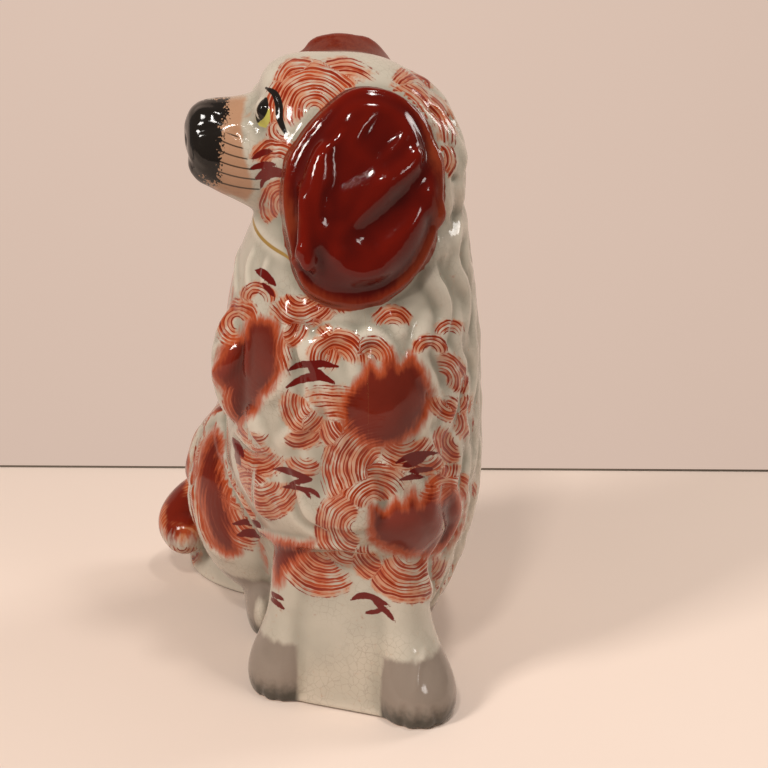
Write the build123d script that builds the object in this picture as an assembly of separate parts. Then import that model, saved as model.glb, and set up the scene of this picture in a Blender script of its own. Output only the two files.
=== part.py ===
from build123d import *
import math
import os

# A seated spaniel in press-moulded earthenware, hollow, about 320 mm high.
# The chest faces +X, the head is turned to look along -Y (the show side), and +Y is the plain side.
# Lengths are in millimetres. Places are shares of the trunk's length, depth and height, measured from
# a plumb line through the chest and the table. The whole figure is moved at the end so that its box
# stands centred on the origin.

# Clay walls, seams and vents
WALL = 5.0                # thickness of the pressed walls
BASE_THICKNESS = 5.0      # slab that closes the underside
ROLL_THICKNESS = 3.0      # clay rolls smeared over the seams inside
SEAM_ROLL_WIDTH = 14.0    # width of the roll across the parting plane
BASE_ROLL_HEIGHT = 8.0    # height of the roll along the slab
VENT_RADIUS = 4.0         # firing vents
VENT_REACH = 30.0         # half the length of the tool that pricks the vents
SEAM_SHARE = 0.112        # parting plane of the two-piece mould
BASE_VENT_SHARES = (-0.143, 0.112, 0.0)
LEG_VENT_SHARES = (0.238, -0.016, 0.222)
TAIL_VENT_SHARES = (-0.467, -0.080, 0.211)

# Trunk: (height, rear, front, show side, plain side), shares of the three sizes below
TRUNK_HEIGHT = 270.0
TRUNK_LENGTH = 210.0
TRUNK_DEPTH = 125.0
TRUNK_SHARES = [
    (0.00, -0.56, 0.22, -0.21, 0.42),
    (0.11, -0.57, 0.23, -0.22, 0.52),
    (0.22, -0.55, 0.29, -0.27, 0.60),
    (0.31, -0.52, 0.36, -0.33, 0.63),
    (0.37, -0.49, 0.41, -0.37, 0.635),
    (0.46, -0.44, 0.43, -0.38, 0.625),
    (0.56, -0.37, 0.44, -0.39, 0.61),
    (0.67, -0.28, 0.43, -0.38, 0.59),
    (0.78, -0.19, 0.39, -0.34, 0.56),
    (0.88, -0.11, 0.33, -0.26, 0.52),
    (1.00, -0.04, 0.26, -0.10, 0.43),
]

# Forms that stand out of the trunk: place and half sizes, shares of the trunk's length, depth and height
SHOW_THIGH_SHARES = (-0.243, -0.192, 0.259)
SHOW_THIGH_HALF_SHARES = (0.248, 0.344, 0.215)
PLAIN_THIGH_SHARES = (-0.210, 0.280, 0.215)
PLAIN_THIGH_HALF_SHARES = (0.276, 0.320, 0.222)
RUMP_SHARES = (-0.462, -0.224, 0.015)
RUMP_HALF_SHARES = (0.229, 0.248, 0.126)
RUMP_TURN = 42.0          # degrees that the rump spreads out towards the tail
TUFT_SHARES = (0.157, -0.320, 0.622)
TUFT_HALF_SHARES = (0.086, 0.120, 0.111)

# Head: (forward of the skull's centre, half width, bottom, top), shares of the skull's half sizes
SKULL_PLACE_SHARES = (0.119, 0.160, 0.985)
SKULL_HALF = (43.0, 47.0, 49.0)
SKULL_SHARES = [
    (-0.94, 0.24, -0.26, 0.16),
    (-0.89, 0.46, -0.48, 0.32),
    (-0.73, 0.70, -0.72, 0.58),
    (-0.42, 0.92, -0.93, 0.86),
    (0.00, 1.00, -1.00, 1.01),
    (0.40, 0.97, -0.94, 1.03),
    (0.70, 0.90, -0.80, 1.02),
    (0.88, 0.79, -0.66, 0.96),
    (0.99, 0.65, -0.54, 0.86),
    (1.05, 0.46, -0.40, 0.70),
]
MUZZLE_SHARES = [
    (0.45, 0.70, -0.74, 0.76),
    (0.90, 0.62, -0.58, 0.71),
    (1.15, 0.54, -0.45, 0.65),
    (1.38, 0.47, -0.33, 0.62),
    (1.58, 0.42, -0.22, 0.60),
    (1.69, 0.36, -0.12, 0.55),
    (1.745, 0.27, -0.02, 0.48),
    (1.77, 0.15, 0.10, 0.38),
]
EYE_HALF = (7.5, 5.5, 6.5)
EYE_SHARES = (0.395, -0.990, 0.561)

# Collar: a raised line round the throat, in the mould
COLLAR_WIDTH = 3.6
COLLAR_RAISE = 1.2
COLLAR_SHARES = (0.119, 0.112, 0.885)
COLLAR_PITCH = 14.0       # degrees that it drops towards the chest

# Ears: each is pressed apart, because the two straddle the parting plane
EAR_LENGTH = 98.0
EAR_WIDTH = 72.0
EAR_RIM = 25.0            # depth of the flat rim, most of it bedded in the head
EAR_DOME = 11.0           # height of the leather above the rim
# Back of each ear in the head: (across, forward, up), shares of the skull's half sizes
CHEST_EAR_SHARES = (0.58, -0.106, -0.245)
CHEST_EAR_LEAN = 14.0     # degrees that the lower end stands out from the head
BACK_EAR_SHARES = (0.58, -0.255, 0.0)
BACK_EAR_LEAN = 20.0
EAR_OUTLINE_SHARES = [
    (0.04, 0.50), (0.34, 0.40), (0.49, 0.10), (0.46, -0.17), (0.29, -0.39), (-0.04, -0.50),
    (-0.38, -0.42), (-0.47, -0.22), (-0.50, 0.07), (-0.39, 0.27), (-0.20, 0.42),
]
# Dome: (height above the rim, size), shares of EAR_DOME and of the outline
EAR_DOME_SHARES = [(0.0, 0.87), (0.5, 0.80), (0.85, 0.62), (1.0, 0.34)]
# Folds: (forward, up, half length, half width) in shares of EAR_LENGTH, then the turn in degrees
EAR_FOLD_SHARES = [(-0.23, -0.04, 0.30, 0.075), (0.08, 0.02, 0.26, 0.085)]
EAR_FOLD_TURNS = [80.0, 48.0]
EAR_FOLD_HALF_HEIGHT = 5.5

# Forelegs and the web between them: one pressing, luted under the chest
LEG_TOP_SHARE = 0.348
SHOW_FOOT_SHARES = (0.195, -0.184)
SHOW_SHOULDER_SHARES = (0.205, -0.088)
SHOW_PAW_HALF_SHARES = (0.105, 0.144)
PLAIN_FOOT_SHARES = (0.348, 0.320)
PLAIN_SHOULDER_SHARES = (0.262, 0.224)
PLAIN_PAW_HALF_SHARES = (0.119, 0.160)
# Leg: (height, thickness, lean), shares of the way up, the paw's half sizes and the way to the shoulder
LEG_SHARES = [
    (0.00, 0.90, 0.00), (0.08, 1.00, 0.00), (0.20, 0.97, 0.10), (0.36, 0.84, 0.40),
    (0.52, 0.80, 0.65), (0.76, 0.84, 0.90), (1.00, 0.88, 1.00),
]
WEB_THICKNESS_SHARE = 0.157
WEB_ROUND = 8.0
TOE_GROOVE_RADIUS = 2.2
TOE_GROOVE_LENGTH = 20.0
TOE_GROOVE_SHARES = (-0.42, 0.0, 0.42)

# Hind foot
HIND_FOOT_SHARES = (-0.152, -0.252, 0.056)
HIND_FOOT_HALF_SHARES = (0.119, 0.064, 0.0815)

# Tail: a plume that swings back, out to the show side and down, with its radius at each place
TAIL_RADIUS_SHARE = 0.124  # share of the trunk's depth
TAIL_PLACE_SHARES = [
    (-0.448, -0.032, 0.215), (-0.530, -0.239, 0.190), (-0.541, -0.424, 0.152),
    (-0.496, -0.542, 0.121), (-0.425, -0.558, 0.106),
]
TAIL_RADIUS_SHARES = [0.85, 0.96, 1.02, 1.00, 0.78]

BLOCK = 3 * TRUNK_HEIGHT  # side of the blocks that cut the forms apart


def in_trunk(shares):
    """A place given in shares of the trunk's length, depth and, where it has one, height."""
    return tuple(size * share for size, share in zip((TRUNK_LENGTH, TRUNK_DEPTH, TRUNK_HEIGHT), shares))


def in_skull(shares):
    """A place given in shares of the skull's half sizes, from its centre."""
    centre = in_trunk(SKULL_PLACE_SHARES)
    return tuple(middle + half * share for middle, half, share in zip(centre, SKULL_HALF, shares))


def ellipsoid(centre, half, inset=0.0, turn=0.0):
    """A unit sphere drawn out to its half sizes, less the inset on every side, and turned level."""
    return Pos(*centre) * Rot(0, 0, turn) * scale(Sphere(1), by=tuple(h - inset for h in half))


def swelling(shares, half_shares, inset=0.0, turn=0.0):
    """An ellipsoid with its place and half sizes given in shares of the trunk."""
    return ellipsoid(in_trunk(shares), in_trunk(half_shares), inset, turn)


def lofted(sections):
    return loft(Sketch() + [section.face() for section in sections])


def part_way(start, end, share):
    return tuple(a + (b - a) * share for a, b in zip(start, end))


def above(height):
    return Pos(0, 0, height + BLOCK / 2) * Box(BLOCK, BLOCK, BLOCK)


def slice_between(low, high):
    return above(low) - above(high)


def pricked(shares, direction):
    """The round tool that pricks a vent, centred on its place in the trunk."""
    return Plane(in_trunk(shares), z_dir=direction) * Cylinder(VENT_RADIUS, 2 * VENT_REACH)


def trunk(inset):
    sections = []
    for height, rear, front, show, plain in TRUNK_SHARES:
        middle_x = TRUNK_LENGTH * (rear + front) / 2
        middle_y = TRUNK_DEPTH * (show + plain) / 2
        half_x = TRUNK_LENGTH * (front - rear) / 2 - inset
        half_y = TRUNK_DEPTH * (plain - show) / 2 - inset
        plane = Plane((middle_x, middle_y, TRUNK_HEIGHT * height))
        sections.append(plane * Ellipse(half_x, half_y))
    return lofted(sections)


def head_form(shares, inset):
    """Upright ovals from the back of the head towards the nose. An inset drops the smallest ones."""
    sections = []
    for forward, wide, low, high in shares:
        half_x = SKULL_HALF[0] * wide - inset
        half_z = SKULL_HALF[2] * (high - low) / 2 - inset
        if min(half_x, half_z) > inset:
            middle = in_skull((0, -forward, (low + high) / 2))
            sections.append(Plane(middle, x_dir=(1, 0, 0), z_dir=(0, -1, 0)) * Ellipse(half_x, half_z))
    return lofted(sections)


def eye(side):
    across, forward, up = EYE_SHARES
    return ellipsoid(in_skull((side * across, forward, up)), EYE_HALF)


def hollow(inset):
    """Trunk, thighs, rump and head as one form, drawn in by the inset."""
    form = trunk(inset) + head_form(SKULL_SHARES, inset)
    form += head_form(MUZZLE_SHARES, inset)
    form += swelling(SHOW_THIGH_SHARES, SHOW_THIGH_HALF_SHARES, inset)
    form += swelling(PLAIN_THIGH_SHARES, PLAIN_THIGH_HALF_SHARES, inset)
    form += swelling(RUMP_SHARES, RUMP_HALF_SHARES, inset, RUMP_TURN)
    return form


def collar():
    """The slice of the grown throat that the raised line keeps."""
    band = Plane(in_trunk(COLLAR_SHARES)).rotated((0, COLLAR_PITCH, 0)) * Box(BLOCK, BLOCK, COLLAR_WIDTH)
    return trunk(-COLLAR_RAISE) & band


def outside():
    """The outer form of the two moulded halves."""
    form = hollow(0)
    for part in (eye(-1), eye(1), swelling(TUFT_SHARES, TUFT_HALF_SHARES), collar()):
        form += part
    return form


def leg_line(foot_shares, shoulder_shares):
    """The foot and the top of a leg."""
    foot = (*in_trunk(foot_shares), 0.0)
    return foot, (*in_trunk(shoulder_shares), TRUNK_HEIGHT * LEG_TOP_SHARE)


SHOW_LEG = leg_line(SHOW_FOOT_SHARES, SHOW_SHOULDER_SHARES)
PLAIN_LEG = leg_line(PLAIN_FOOT_SHARES, PLAIN_SHOULDER_SHARES)
SHOW_PAW_HALF = in_trunk(SHOW_PAW_HALF_SHARES)
PLAIN_PAW_HALF = in_trunk(PLAIN_PAW_HALF_SHARES)


def leg(line, half, inset):
    foot, shoulder = line
    sections = []
    for height, thickness, lean in LEG_SHARES:
        x, y, _ = part_way(foot, shoulder, lean)
        place = (x, y, shoulder[2] * height)
        sections.append(Plane(place) * Ellipse(half[0] * thickness - inset, half[1] * thickness - inset))
    return lofted(sections)


def web(inset):
    """The clay that fills the gap between the legs, from the paws up to the chest."""
    sections = []
    for near, far in zip(SHOW_LEG, PLAIN_LEG):
        way = (far[0] - near[0], far[1] - near[1], 0)
        plane = Plane(part_way(near, far, 1 / 2), x_dir=way, z_dir=(0, 0, 1))
        width = math.hypot(*way) - 2 * inset
        thickness = TRUNK_LENGTH * WEB_THICKNESS_SHARE - 2 * inset
        sections.append(plane * RectangleRounded(width, thickness, WEB_ROUND - inset))
    return lofted(sections)


def forelegs(inset):
    return web(inset) + leg(SHOW_LEG, SHOW_PAW_HALF, inset) + leg(PLAIN_LEG, PLAIN_PAW_HALF, inset)


def toe_grooves():
    grooves = []
    for (foot, _), half in ((SHOW_LEG, SHOW_PAW_HALF), (PLAIN_LEG, PLAIN_PAW_HALF)):
        for across in TOE_GROOVE_SHARES:
            front = foot[0] + half[0] * math.sqrt(1 - across ** 2) + TOE_GROOVE_RADIUS / 2
            spot = (front, foot[1] + half[1] * across, TOE_GROOVE_LENGTH / 2)
            grooves.append(Pos(*spot) * Cylinder(TOE_GROOVE_RADIUS, TOE_GROOVE_LENGTH))
    return grooves


def ear_outline(height, size):
    points = [(EAR_WIDTH * size * u, EAR_LENGTH * size * v) for u, v in EAR_OUTLINE_SHARES]
    return Pos(0, 0, height) * make_face(Spline(*points, periodic=True))


def ear(shares, lean):
    """An ear on the chest's side of the head: a flat rim, a domed leather and its folds."""
    form = extrude(ear_outline(0, 1), EAR_RIM)
    form += lofted([ear_outline(EAR_RIM + EAR_DOME * up, size) for up, size in EAR_DOME_SHARES])
    for (forward, up, length, width), turn in zip(EAR_FOLD_SHARES, EAR_FOLD_TURNS):
        half = (EAR_LENGTH * length, EAR_LENGTH * width, EAR_FOLD_HALF_HEIGHT)
        spot = (EAR_LENGTH * forward, EAR_LENGTH * up, EAR_RIM + EAR_DOME)
        form += Pos(*spot) * Rot(0, 0, turn) * ellipsoid((0, 0, -EAR_FOLD_HALF_HEIGHT / 2), half)
    seat = Plane(in_skull(shares), x_dir=(0, 1, 0), z_dir=(1, 0, 0))
    return (seat * form).rotate(Axis(seat.origin, (0, -1, 0)), lean)


def tail_places():
    return [in_trunk(shares) for shares in TAIL_PLACE_SHARES]


def tail(inset):
    places = tail_places()
    radii = [TRUNK_DEPTH * TAIL_RADIUS_SHARE * share - inset for share in TAIL_RADIUS_SHARES]
    path = Spline(*places)
    sections = []
    for place, radius in zip(places, radii):
        along = path.tangent_at(path.param_at_point(place))
        sections.append(Plane(place, z_dir=along) * Circle(radius))
    return lofted(sections) + Pos(*places[-1]) * Sphere(radii[-1])


def halves(outer):
    """The two pressed halves, open underneath, with the vents pricked through to legs and tail."""
    shell = (outer - hollow(WALL)) & above(BASE_THICKNESS)
    shell -= pricked(LEG_VENT_SHARES, (1, 0, 0))
    root, out = tail_places()[:2]
    shell -= pricked(TAIL_VENT_SHARES, Vector(*out) - Vector(*root))
    show_side = Pos(0, TRUNK_DEPTH * SEAM_SHARE - BLOCK / 2, 0) * Box(BLOCK, BLOCK, BLOCK)
    return {"front_half": shell & show_side, "back_half": shell - show_side}


def rolls():
    """The clay smeared over the seams from inside: one along the slab, one over the parting line."""
    lining = hollow(WALL) - hollow(WALL + ROLL_THICKNESS)
    roll_top = BASE_THICKNESS + BASE_ROLL_HEIGHT
    across_seam = Pos(0, TRUNK_DEPTH * SEAM_SHARE, 0) * Box(BLOCK, SEAM_ROLL_WIDTH, BLOCK)
    return {
        "base_roll": lining & slice_between(BASE_THICKNESS, roll_top),
        "seam_roll": lining & across_seam & above(roll_top),
    }


def luted_pieces(outer, legs, foot):
    """Pieces pressed or rolled apart and luted on, each cut back to the outside of the halves."""
    chest_ear = ear(CHEST_EAR_SHARES, CHEST_EAR_LEAN)
    back_ear = mirror(ear(BACK_EAR_SHARES, BACK_EAR_LEAN), Plane.YZ.offset(in_skull((0, 0, 0))[0]))
    forms = {
        "foreleg_block": (legs - forelegs(WALL)) & above(BASE_THICKNESS),
        "hind_foot": foot & above(BASE_THICKNESS),
        "tail": tail(0) - tail(WALL),
        "chest_ear": chest_ear,
        "back_ear": back_ear,
    }
    return {name: form - outer for name, form in forms.items()}


def centring(pieces):
    """The move that stands the whole figure's box centred on the origin."""
    boxes = [piece.bounding_box() for piece in pieces.values()]
    low = [min(getattr(box.min, axis) for box in boxes) for axis in "XYZ"]
    high = [max(getattr(box.max, axis) for box in boxes) for axis in "XYZ"]
    return Pos(-(low[0] + high[0]) / 2, -(low[1] + high[1]) / 2, -low[2])


def main():
    os.makedirs("parts", exist_ok=True)
    outer = outside()
    legs = forelegs(0) - toe_grooves()
    foot = swelling(HIND_FOOT_SHARES, HIND_FOOT_HALF_SHARES)
    slab = (outer + legs + foot) & slice_between(0, BASE_THICKNESS)
    pieces = {**halves(outer), **rolls(), **luted_pieces(outer, legs, foot)}
    pieces["base_slab"] = slab - pricked(BASE_VENT_SHARES, (0, 0, 1))
    move = centring(pieces)
    for name, piece in pieces.items():
        export_step(move * piece, f"parts/{name}.step")
    print("moved by", tuple(move.position))


main()
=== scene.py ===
import math

import bpy
import numpy as np
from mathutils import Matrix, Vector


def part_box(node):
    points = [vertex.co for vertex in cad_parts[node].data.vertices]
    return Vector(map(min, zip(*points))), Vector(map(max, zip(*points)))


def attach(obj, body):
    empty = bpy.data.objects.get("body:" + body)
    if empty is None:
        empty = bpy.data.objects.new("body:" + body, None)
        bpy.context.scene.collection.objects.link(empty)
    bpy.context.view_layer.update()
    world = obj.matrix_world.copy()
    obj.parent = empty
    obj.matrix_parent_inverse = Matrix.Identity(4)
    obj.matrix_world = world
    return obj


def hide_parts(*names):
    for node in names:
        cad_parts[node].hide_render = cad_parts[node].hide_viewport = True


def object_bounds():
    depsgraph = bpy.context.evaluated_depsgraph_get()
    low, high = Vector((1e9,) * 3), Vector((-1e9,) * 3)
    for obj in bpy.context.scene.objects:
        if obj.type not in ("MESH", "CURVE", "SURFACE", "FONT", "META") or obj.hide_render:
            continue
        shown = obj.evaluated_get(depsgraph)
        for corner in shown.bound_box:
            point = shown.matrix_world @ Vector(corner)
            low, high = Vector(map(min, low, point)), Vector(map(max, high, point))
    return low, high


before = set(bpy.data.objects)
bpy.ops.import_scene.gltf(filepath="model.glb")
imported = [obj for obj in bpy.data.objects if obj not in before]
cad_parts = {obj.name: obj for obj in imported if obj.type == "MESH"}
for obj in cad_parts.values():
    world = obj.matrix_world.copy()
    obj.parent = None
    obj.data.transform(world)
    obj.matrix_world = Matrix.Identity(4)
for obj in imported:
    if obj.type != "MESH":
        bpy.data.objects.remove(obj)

import openvdb as vdb
from mathutils import Matrix, Vector
from mathutils.bvhtree import BVHTree

# A hand-painted earthenware spaniel. The chest faces +X, the face looks along -Y and +Y is the plain
# side. The clay skin is one level set over all the pieces, worked like clay and cut apart again. Paint
# is kept as values on the skin's points, and the materials draw the brush lines from them.
MM = 0.001
CAD_BOX = [list(corner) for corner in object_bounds()]

# Camera, worked out from the horizon, the feet and the outline of the figure in the picture
PICTURE_SIZE = 768
CAMERA_AZIMUTH = 84.0
CAMERA_ELEVATION = 19.5
SIDE_AZIMUTH = 0.0
SIDE_ELEVATION = 0.0
CAMERA_DISTANCE = 1054.71 * MM
CAMERA_TARGET = (20.17 * MM, 34.53 * MM, 143.85 * MM)
SIDE_TARGET = (0.0, 0.0, 160.0 * MM)
CAMERA_LENS = 98.44
SENSOR_WIDTH = 36.0
FOCAL = CAMERA_LENS / SENSOR_WIDTH * PICTURE_SIZE
PIXEL = CAMERA_DISTANCE / FOCAL / MM      # millimetres at the figure

# Clay skin
VOXEL = 1.0 * MM
FILLET = 3.5 * MM          # roundness of the creases where pieces are luted together
NARROW_BAND = 3.0          # voxels kept on either side of a surface
BAND_VOXELS = 12
GRID_MARGIN = 8            # voxels left free round the figure
RIDGE_END_SHARE = 0.35     # height of a ridge or groove at its ends
CURVE_STEPS = 4
SEEN_AT_ALL = 0.02         # least cosine between the surface and the view at which a place is seen
SEEN_WELL = 0.30           # least cosine at which a picture paints the surface
TURNED_AWAY = 0.40         # cosine under which the show side's own picture paints instead
DEPTH_CELL_PX = 4          # cells in which the nearest place is looked for
HIDDEN_DEPTH = 7 * MM      # a place this far behind the nearest one is hidden
TINY = 1e-12
BASE_HEIGHT = 5.0 * MM
LIP_DEPTH = 4.5 * MM
SEAM_Y = 16.61 * MM
HEAD_MIDDLE_X = 45.16 * MM
HEAD_BOTTOM = 222.0 * MM
VENT_PLACE = (-9.86 * MM, SEAM_Y)
VENT_RADIUS = 4.0 * MM
NAPE_HEIGHT = 263.5 * MM
NAPE_POST_Y = (50.0 * MM, 66.6 * MM)
NAPE_RADIUS = 8.5 * MM
POST_SIDES = 24
NODE_REACH = 8 * MM        # how far from a luted piece the distances to it are measured
FAR_AWAY = 1.0

# Table, wall and lights, in metres and watts
TABLE_REACH = 3.0
TABLE_DEPTH = 0.72
TABLE_EDGE_X = -0.231
TABLE_TURN = 6.9           # degrees
WALL_DISTANCE = 2.0
WALL_BOTTOM = -1.8
WALL_TOP = 3.0
# height of the thin dark strip of painted shadow at the table's far edge
EDGE_SHADOW_HEIGHT = 1.4 * MM
TABLE_COLOUR = (0.80, 0.66, 0.57)
WALL_COLOUR = (0.76, 0.62, 0.54)
# the wall glows: painted light in place of the lamplight that would reach it
WALL_GLOW = (0.395, 0.292, 0.24)
# colour of that strip of painted shadow
EDGE_SHADOW_COLOUR = (0.10, 0.08, 0.06)
ROOM_COLOUR = (0.85, 0.80, 0.76)
ROOM_LIGHT = 0.17
LIT_PLACE = (0.0, 0.0, 0.17)
LIGHTS = [
    ("window", (0.85, -1.15, 1.25), (0.34, 0.42), 21, (1.0, 0.95, 0.90)),
    ("lamp", (1.2, -0.35, 1.5), (0.16, 0.16), 9, (1.0, 0.95, 0.90)),
    ("ceiling", (0.5, 0.3, 1.9), (0.20, 0.20), 8, (1.0, 0.95, 0.90)),
    ("fill", (1.5, 1.0, 0.9), (0.30, 0.30), 4, (1.0, 0.96, 0.92)),
    ("behind", (-0.45, 1.15, 0.85), (0.50, 0.50), 7, (1.0, 0.96, 0.92)),
]

# Pieces
LUTED_NODES = ("foreleg_block", "hind_foot", "tail", "chest_ear", "back_ear")
HALF_NODES = ("front_half", "back_half")
EAR_NODES = ("chest_ear", "back_ear")
ROLL_NODES = ("base_roll", "seam_roll")
SLOTS = {
    "front_half": "glazed_body", "back_half": "glazed_body", "foreleg_block": "glazed_body",
    "hind_foot": "glazed_body", "tail": "painted_red", "chest_ear": "painted_red",
    "back_ear": "painted_red", "base_slab": "biscuit_clay",
}

# Relief in the picture: half width and height in millimetres, then places in pixels
RELIEF_PX = [
    (5.0, 3.6, [(221, 420), (225, 450), (235, 482), (250, 510), (265, 532), (290, 543), (335, 546),
                (370, 550)]),
    (4.5, 3.0, [(191, 477), (200, 520), (212, 547), (231, 559)]),
    (4.6, 5.0, [(283, 302), (288, 320), (286, 345), (286, 365), (280, 386), (266, 398)]),
    (3.0, 2.4, [(247, 324), (248, 345), (247, 372)]),
    (7.0, 4.0, [(215, 377), (224, 366), (238, 344)]),
    (9.0, 4.2, [(303, 346), (305, 352)]),
    (5.0, 4.0, [(318, 376), (314, 356), (322, 338), (340, 332), (356, 342), (362, 358)]),
    (5.0, 4.0, [(354, 372), (354, 352), (364, 338), (380, 338), (390, 352), (388, 370)]),
    (26.0, 4.6, [(385, 396), (388, 404)]),
    (10.0, 4.6, [(256, 424), (258, 430)]),
    (7.0, 3.4, [(282, 444), (300, 428), (316, 404)]),
    (6.0, 3.4, [(324, 388), (336, 416), (342, 448)]),
    (18.0, 4.0, [(352, 480), (350, 512), (352, 530)]),
    (24.0, 4.6, [(415, 520), (416, 540)]),
    (6.0, 3.4, [(446, 388), (450, 408), (440, 430)]),
    (6.0, 3.4, [(430, 343), (446, 356), (452, 374)]),
    (6.0, 3.0, [(440, 468), (452, 490), (455, 515)]),
    (9.0, 3.4, [(262, 482), (262, 508)]),
    (6.0, 2.8, [(296, 296), (312, 312), (334, 318), (360, 314)]),
    (6.0, 2.6, [(382, 306), (396, 322), (402, 340)]),
    (7.0, 3.0, [(376, 462), (398, 470), (420, 488)]),
    (9.0, -3.0, [(322, 402), (312, 432), (322, 470), (312, 500)]),
    (4.5, -3.0, [(295, 326), (298, 372), (296, 400), (284, 420)]),
    (5.0, -3.0, [(234, 440), (252, 458), (276, 462)]),
    (5.0, -2.6, [(285, 470), (300, 520), (330, 536)]),
    (5.0, -3.0, [(366, 456), (384, 486), (380, 520)]),
    (4.0, -2.4, [(424, 380), (432, 410), (424, 440)]),
    (4.0, 2.2, [(300, 250), (296, 262)]),
    (3.0, 2.6, [(240, 248), (237, 270), (237, 292)]),
    (2.8, 2.2, [(253, 250), (248, 268), (248, 288)]),
    (2.6, 2.0, [(268, 258), (264, 272), (262, 290)]),
    (4.0, -1.6, [(212, 340), (218, 336), (232, 310)]),
    (7.0, 3.0, [(420, 72), (436, 90), (446, 108)]),
    (7.0, 3.4, [(440, 128), (455, 146), (461, 166)]),
    (6.0, 3.0, [(452, 186), (460, 200), (458, 216)]),
    (4.0, -2.0, [(428, 112), (440, 116), (454, 124)]),
    (4.0, -2.0, [(446, 176), (454, 178), (462, 182)]),
]
FACE_RELIEF_PX = [
    (1.9, 1.5, [(266, 90), (271, 96), (273, 107), (271, 117), (266, 124)]),
    (1.6, -1.0, [(267, 126), (261, 128), (255, 122)]),
    (4.5, 1.6, [(262, 108), (262, 114)]),
    (2.2, -1.4, [(276, 98), (279, 108), (280, 120)]),
    (2.6, -1.2, [(196, 131), (206, 130), (218, 127)]),
    (4.5, 1.2, [(200, 112), (212, 112)]),
    (6.5, 1.4, [(200, 152), (206, 160)]),
    (3.0, -1.2, [(233, 131), (240, 134), (246, 140)]),
    (10.0, 1.6, [(282, 150), (286, 156)]),
]
EAR_RELIEF_PX = [
    (8.0, -1.5, [(306, 214), (313, 246), (330, 274), (354, 288), (382, 284), (408, 260), (426, 226)]),
    (9.0, 1.4, [(334, 220), (334, 244), (346, 262)]),
    (14.0, -3.4, [(366, 124), (380, 134), (394, 146)]),
    (11.0, -3.6, [(414, 190), (396, 212), (374, 230), (360, 246)]),
    (9.0, 1.6, [(338, 206), (362, 190), (392, 172)]),
    (3.0, 1.1, [(320, 160), (332, 144), (346, 128)]),
    (8.0, 1.8, [(328, 122), (350, 106), (372, 102), (397, 109), (412, 130)]),
    (5.0, 1.4, [(300, 180), (302, 214), (306, 250), (318, 276)]),
    (3.2, -1.2, [(328, 188), (324, 206), (324, 222)]),
]
MUZZLE_RELIEF_PX = [
    (9.0, 0.9, [(474, 128), (474, 136)]),
    (8.0, 1.2, [(462, 168), (460, 174)]),
    (8.0, 1.2, [(486, 168), (488, 174)]),
    (1.8, -0.8, [(474, 152), (474, 162), (474, 172)]),
    (2.0, -0.8, [(446, 156), (458, 154), (474, 150), (490, 154), (502, 156)]),
    (2.4, -1.4, [(464, 134), (461, 137)]),
    (2.4, -1.4, [(484, 134), (487, 137)]),
]
PAW_RELIEF_PX = [
    (2.2, -1.8, [(402, 735), (401, 722), (404, 706)]),
    (2.2, -1.8, [(419, 738), (419, 724), (419, 706)]),
    (2.2, -1.8, [(436, 735), (437, 722), (434, 706)]),
    (2.0, -1.6, [(262, 706), (260, 694), (262, 682)]),
    (2.0, -1.6, [(277, 708), (275, 696), (275, 684)]),
    (3.0, 1.2, [(425, 650), (418, 670), (416, 694)]),
]

# Locks of the moulded coat on the plain side and the back: rows of short wavy ridges, in millimetres
LOCK_HALF_WIDTH = 7.5
LOCK_HEIGHT = 3.6
LOCK_LENGTH = 34.0
LOCK_SWAY = 4.5
LOCK_WAVES = 1.6           # half waves along a lock
LOCK_WAVE_START = 0.2      # share of a half wave that comes before the lock
LOCK_PLACES = 6
LOCK_BREAK = 14.0          # a longer step between two places is a jump to another form
LOCK_LOWEST = 32
LOCK_HIGHEST = 300
LOCK_ROW_STEP = 19
LOCK_TURNS = 13
LOCK_START_ANGLE = 20.0    # degrees from +X towards +Y
LOCK_SWEEP = 235.0
LOCK_SLICE = 1.2           # half thickness of the level slice in which the surface is looked for
LOCK_STRIP = 1.6           # half width of the strip in it
OUT_OF_STRIP = 1000.0      # takes a place outside the strip out of the choice
LOCK_FOOT_X = -20.0        # the axis round which the locks stand, and how far it leans forward
LOCK_LEAN = 60.0
LOCK_LEAN_TOP = 270.0
TRUNK_AXIS_Y = 18.0
HEAD_AXIS_Y = 32.0
LOCK_GROOVE_DEPTH = 0.9
LOCK_GROOVE_SHARE = 0.55
LEVEL_WAY = 0.05           # a lock that runs less across than this has no groove beside it

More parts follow.
